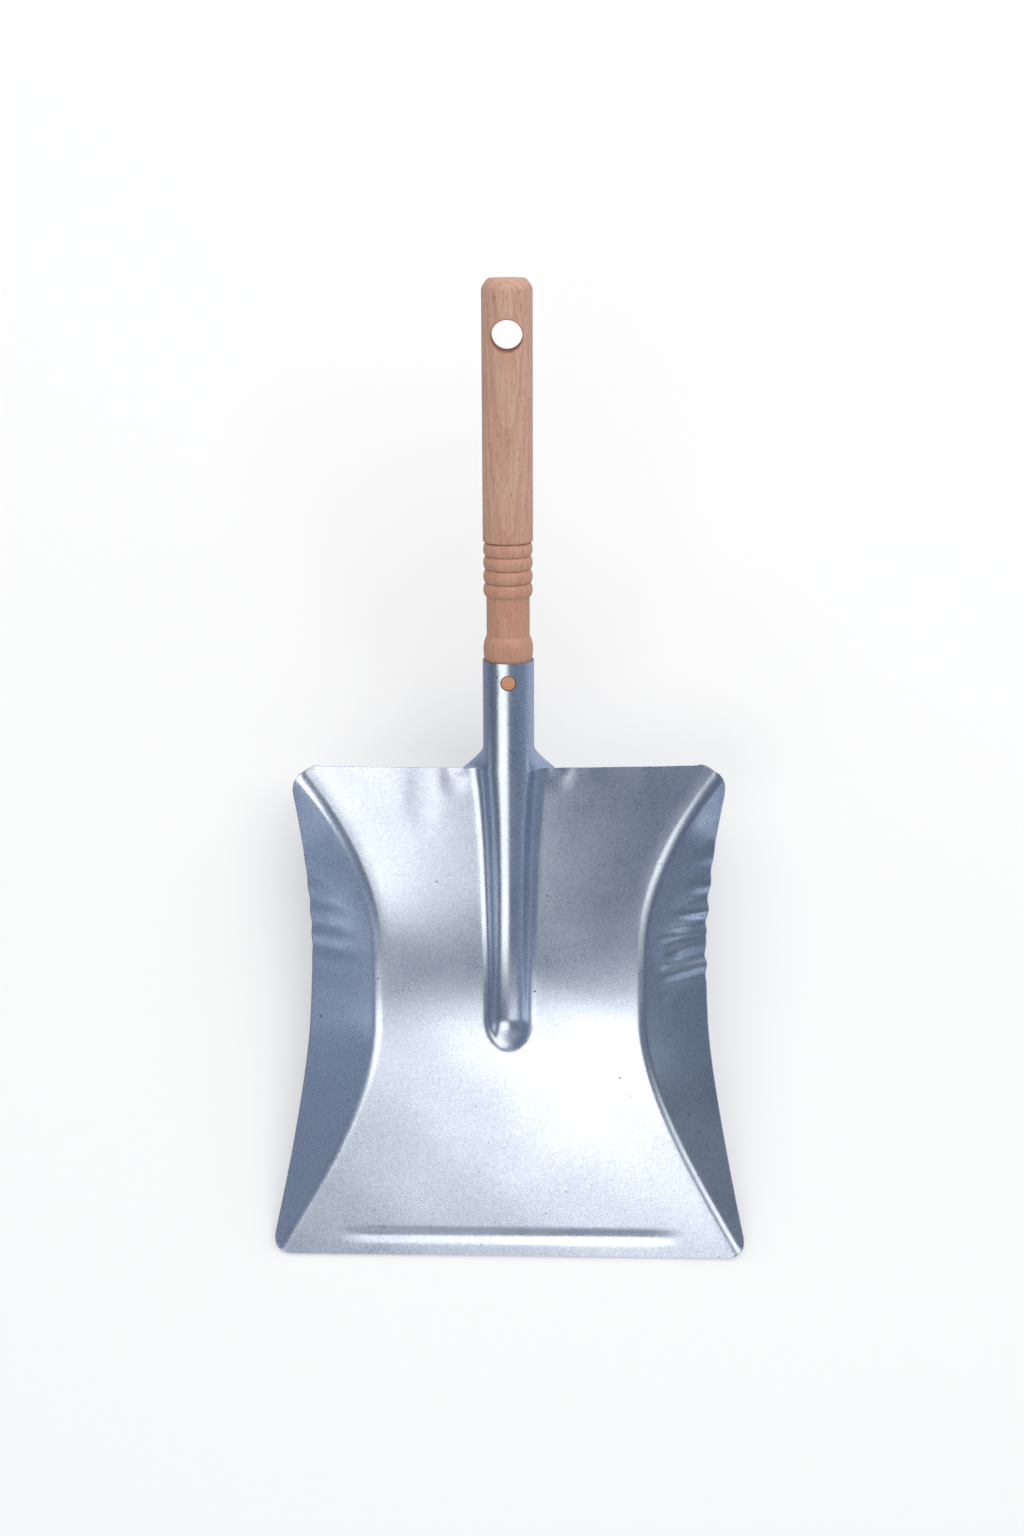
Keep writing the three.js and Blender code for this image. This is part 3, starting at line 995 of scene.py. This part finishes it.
def bored(tree, along_wood, hole, under):
    """Cut wood within three quarters of a millimetre of the hole's wall, by distance from its axis."""
    flat = node(tree, "ShaderNodeMapping", {"Vector": along_wood, "Location": hole, "Scale": (1.0, 1.0, 0.0)})
    reach = node(tree, "ShaderNodeVectorMath", {0: flat.outputs["Vector"]}, operation="LENGTH")
    inside = node(
        tree,
        "ShaderNodeMapRange",
        {
            "Value": reach.outputs["Value"],
            "From Min": (HANG_HOLE_RADIUS + 0.1) * MM,
            "From Max": (HANG_HOLE_RADIUS + 0.75) * MM,
            "To Min": 1.0,
            "To Max": 0.0,
        },
    )
    amount = inside.outputs["Result"]
    mixed = node(tree, "ShaderNodeMix", {0: amount, 6: under, 7: rgb(CUT_WOOD)}, data_type="RGBA")
    return mixed.outputs[2]


hole_y, hole_z = middle(HANG_HOLE)
hole_along = float(hole_y * math.cos(RISE) + hole_z * math.sin(RISE)) * MM
print("hanging hole", round(hole_along / MM, 1), "mm along the handle's direction from the origin")

# %% [markdown]
# ### Putting the beech together
#
# The fine streaks come first, then rings, rays, the warm end and the bored hole, each laid over the last.
# The peg is the same wood turned a quarter, so its end shows end grain.

# %% Beech on the handle and the peg
PEG_LIGHT = "#d29a78"
PEG_DEEP = "#bf8766"


def beech_material(name, light, deep, turn, streak, hole=None):
    """Turned beech whose grain runs along Y once the pattern is turned about X by minus turn."""
    material, tree, shader = new_material(name)
    place = node(tree, "ShaderNodeTexCoord").outputs["Object"]
    lying = node(tree, "ShaderNodeMapping", {"Vector": place, "Rotation": (-turn, 0.0, 0.0)})
    along_wood = lying.outputs["Vector"]
    stretched = node(tree, "ShaderNodeMapping", {"Vector": along_wood, "Scale": (1.0, 0.03, 1.0)})
    fine = {"Vector": stretched.outputs["Vector"], "Scale": 1 / streak, "Detail": 4.0, "Roughness": 0.65}
    streaks = node(tree, "ShaderNodeTexNoise", fine).outputs["Fac"]
    fibre = node(tree, "ShaderNodeMapRange", {"Value": streaks, "From Min": 0.34, "From Max": 0.66})
    amount = fibre.outputs["Result"]
    streaked = node(tree, "ShaderNodeMix", {0: amount, 6: rgb(deep), 7: rgb(light)}, data_type="RGBA")
    colour = rays(tree, along_wood, growth_rings(tree, along_wood, streaked.outputs[2]))
    if hole is not None:
        colour = bored(tree, along_wood, hole, warm_end(tree, along_wood, hole, colour))
    tree.links.new(colour, shader.inputs["Base Color"])
    dry = {"Value": streaks, "From Min": 0.3, "From Max": 0.7, "To Min": 0.62, "To Max": 0.5}
    tree.links.new(node(tree, "ShaderNodeMapRange", dry).outputs["Result"], shader.inputs["Roughness"])
    fibres = node(tree, "ShaderNodeBump", {"Height": streaks, "Strength": 0.4, "Distance": 0.12 * MM})
    tree.links.new(fibres.outputs["Normal"], shader.inputs["Normal"])
    return material


handle.data.materials.clear()
handle.data.materials.append(
    beech_material("turned_beech", BEECH_LIGHT, BEECH_MIDDLE, RISE, 0.55 * MM, hole=(0.0, -hole_along, 0.0))
)
peg.data.materials.append(
    beech_material("beech_end_grain", PEG_LIGHT, PEG_DEEP, RISE - math.pi / 2, 0.4 * MM)
)
print("materials", handle.data.materials[0].name, "and", peg.data.materials[0].name)

# %% [markdown]
# ## Camera
#
# The camera looks at the pan from above, square to the plane in which the object seems to lie: the front
# of the floor falls away from it by ten degrees and the socket rises towards it by fifteen.

# %% Camera
CAMERA_TILT = math.radians(10.2)
CAMERA_DISTANCE = 1053.4
CAMERA_ASIDE = 10.6
CAMERA_TURN = math.radians(0.5)
LENS = 50.8
rear_y, rear_z = middle(0.0)
camera_data = bpy.data.cameras.new("camera")
camera_data.sensor_width = 36.0
camera_data.lens = LENS
camera = bpy.data.objects.new("camera", camera_data)
camera.location = (
    CAMERA_ASIDE * MM,
    (float(rear_y) - CAMERA_DISTANCE * math.sin(CAMERA_TILT)) * MM,
    (float(rear_z) + CAMERA_DISTANCE * math.cos(CAMERA_TILT)) * MM,
)
camera.rotation_euler = (CAMERA_TILT, CAMERA_TURN, 0.0)
bpy.context.scene.collection.objects.link(camera)
bpy.context.scene.camera = camera
print("camera at", [round(v, 3) for v in camera.location])

# %% [markdown]
# ## White floor
#
# The object lies on white paper that is lit a little from below, like a light table, which keeps its
# shadow soft. The paper is kept out of the metal's reflections. Real paper would show in the sides of the
# socket as a wide white band, and in a studio a grey card is held there to take it out.

# %% Floor
FLOOR_HALF = 1.3
floor_mesh = bpy.data.meshes.new("floor")
corners = [(x * FLOOR_HALF, y * FLOOR_HALF, 0.0) for x, y in ((-1, -1), (1, -1), (1, 1), (-1, 1))]
floor_mesh.from_pydata(corners, [], [(0, 1, 2, 3)])
floor = bpy.data.objects.new("floor", floor_mesh)
bpy.context.scene.collection.objects.link(floor)
paper, tree, shader = new_material("white_paper")
shader.inputs["Base Color"].default_value = rgb("#d2d2d1")
shader.inputs["Roughness"].default_value = 0.9
shader.inputs["Specular IOR Level"].default_value = 0.0
shader.inputs["Emission Color"].default_value = rgb("#ffffff")
shader.inputs["Emission Strength"].default_value = 0.27
floor_mesh.materials.append(paper)
floor.visible_glossy = False
print("floor", round(floor.dimensions.x, 2), "m square")

# %% [markdown]
# ## The room
#
# Bare metal has hardly any colour of its own: what it shows is the room. So the room is dim and bluish
# overhead, lighter towards the horizon, and lighter behind the handle than in front of the lip. High on
# the far side it is lightest, which is what the pan mirrors when it is seen from low in front. The camera
# itself sees plain pale paper behind the floor, so low views have a clean backdrop.

# %% Room
BELOW = (0.42, 0.45, 0.57)
HORIZON = (0.26, 0.32, 0.41)
OVERHEAD = (0.152, 0.187, 0.262)
world = bpy.data.worlds.new("studio")
world.use_nodes = True
tree = world.node_tree
sky = node(tree, "ShaderNodeTexCoord").outputs["Generated"]
direction = node(tree, "ShaderNodeSeparateXYZ", {"Vector": sky})
height = node(
    tree, "ShaderNodeMapRange", {"Value": direction.outputs["Z"], "From Min": -1.0, "From Max": 1.0}
)
room = node(tree, "ShaderNodeValToRGB", {"Fac": height.outputs["Result"]})
for stop, (level, colour) in enumerate(((0.36, BELOW), (0.53, HORIZON), (0.95, OVERHEAD))):
    if stop > 1:
        room.color_ramp.elements.new(level)
    room.color_ramp.elements[stop].position = level
    room.color_ramp.elements[stop].color = (*colour, 1.0)
behind = node(
    tree,
    "ShaderNodeMapRange",
    {"Value": direction.outputs["Y"], "From Min": -0.6, "From Max": 0.6, "To Min": 0.88, "To Max": 1.4},
)
aside = node(
    tree,
    "ShaderNodeMapRange",
    {"Value": direction.outputs["X"], "From Min": -1.0, "From Max": 0.4, "To Min": 0.5, "To Max": 0.95},
)
far_wall = node(
    tree,
    "ShaderNodeMapRange",
    {"Value": direction.outputs["Y"], "From Min": 0.35, "From Max": 0.8, "To Min": 0.0, "To Max": 1.3},
)
both_ways = node(
    tree, "ShaderNodeMath", {0: behind.outputs["Result"], 1: aside.outputs["Result"]}, operation="MULTIPLY"
)
upper = node(tree, "ShaderNodeMapRange", {"Value": direction.outputs["Z"], "From Min": 0.1, "From Max": 0.35})
glow = node(
    tree, "ShaderNodeMath", {0: far_wall.outputs["Result"], 1: upper.outputs["Result"]}, operation="MULTIPLY"
)
level = node(
    tree,
    "ShaderNodeMath",
    {0: both_ways.outputs[0], 1: glow.outputs[0], 2: both_ways.outputs[0]},
    operation="MULTIPLY_ADD",
)
tree.links.new(room.outputs["Color"], tree.nodes["Background"].inputs["Color"])
tree.links.new(level.outputs[0], tree.nodes["Background"].inputs["Strength"])
paper_roll = node(tree, "ShaderNodeBackground", {"Color": (0.93, 0.93, 0.93, 1.0)})
seen = node(tree, "ShaderNodeLightPath").outputs["Is Camera Ray"]
either = node(
    tree,
    "ShaderNodeMixShader",
    {0: seen, 1: tree.nodes["Background"].outputs[0], 2: paper_roll.outputs[0]},
)
tree.links.new(either.outputs[0], tree.nodes["World Output"].inputs["Surface"])
bpy.context.scene.world = world
bpy.context.scene.view_settings.view_transform = "Standard"
print("room from", OVERHEAD, "overhead to", HORIZON, "at the horizon")

# %% [markdown]
# ## Light panels
#
# The panels are laid out in angles round the camera, the way they are set in a product studio. The front
# one stands where the level front of the floor mirrors it, and the rear one where the rising rear left of
# the floor and the crown of the rib mirror it. A large one behind the handle lights the white floor and
# the wood. It is kept out of the metal's reflections too, or from low down in front the whole pan would
# mirror it and go white. A low panel in front of the lip puts thin bright lines into the rib and socket.

# %% Panels
PANEL_DISTANCE = 2.5


def panel(name, across, along, radiance, tint=(1.0, 1.0, 1.0)):
    """A soft square-on panel that fills a window of angles (degrees right and back of the camera's axis).

    Its power follows from how bright it looks: radiance * pi * area.
    """
    right = np.array([1.0, 0.0, 0.0])
    back = np.array([0.0, math.cos(CAMERA_TILT), math.sin(CAMERA_TILT)])
    axis = np.array([0.0, -math.sin(CAMERA_TILT), math.cos(CAMERA_TILT)])
    x_low, x_high = (math.radians(a) for a in across)
    y_low, y_high = (math.radians(a) for a in along)
    x = (x_low + x_high) / 2
    y = (y_low + y_high) / 2
    towards = math.sin(x) * right + math.cos(x) * (math.sin(y) * back + math.cos(y) * axis)
    data = bpy.data.lights.new(name, "AREA")
    data.shape = "RECTANGLE"
    data.size = 2 * PANEL_DISTANCE * math.tan((x_high - x_low) / 2)
    data.size_y = 2 * PANEL_DISTANCE * math.tan((y_high - y_low) / 2)
    data.color = tint
    data.energy = radiance * math.pi * data.size * data.size_y
    light = bpy.data.objects.new(name, data)
    light.location = towards * PANEL_DISTANCE
    light.visible_camera = False
    up_side = back - towards * np.dot(back, towards)
    up_side /= np.linalg.norm(up_side)
    turned_axes = np.stack([np.cross(up_side, towards), up_side, towards], axis=1)
    light.rotation_euler = Matrix(turned_axes.tolist()).to_euler()
    bpy.context.scene.collection.objects.link(light)
    return light


panel("front_panel", (-4.6, 44.0), (7.2, 33.0), 3.2, (1.0, 0.95, 0.87))
panel("rear_panel", (-44.0, -4.0), (-45.0, -14.0), 1.75, (1.0, 0.96, 0.88))
back_panel = panel("back_panel", (-55.0, 55.0), (38.0, 78.0), 1.8, (1.0, 0.955, 0.87))
back_panel.visible_glossy = False
panel("low_panel", (-30.0, 30.0), (-84.0, -56.0), 1.5, (1.0, 0.97, 0.92))
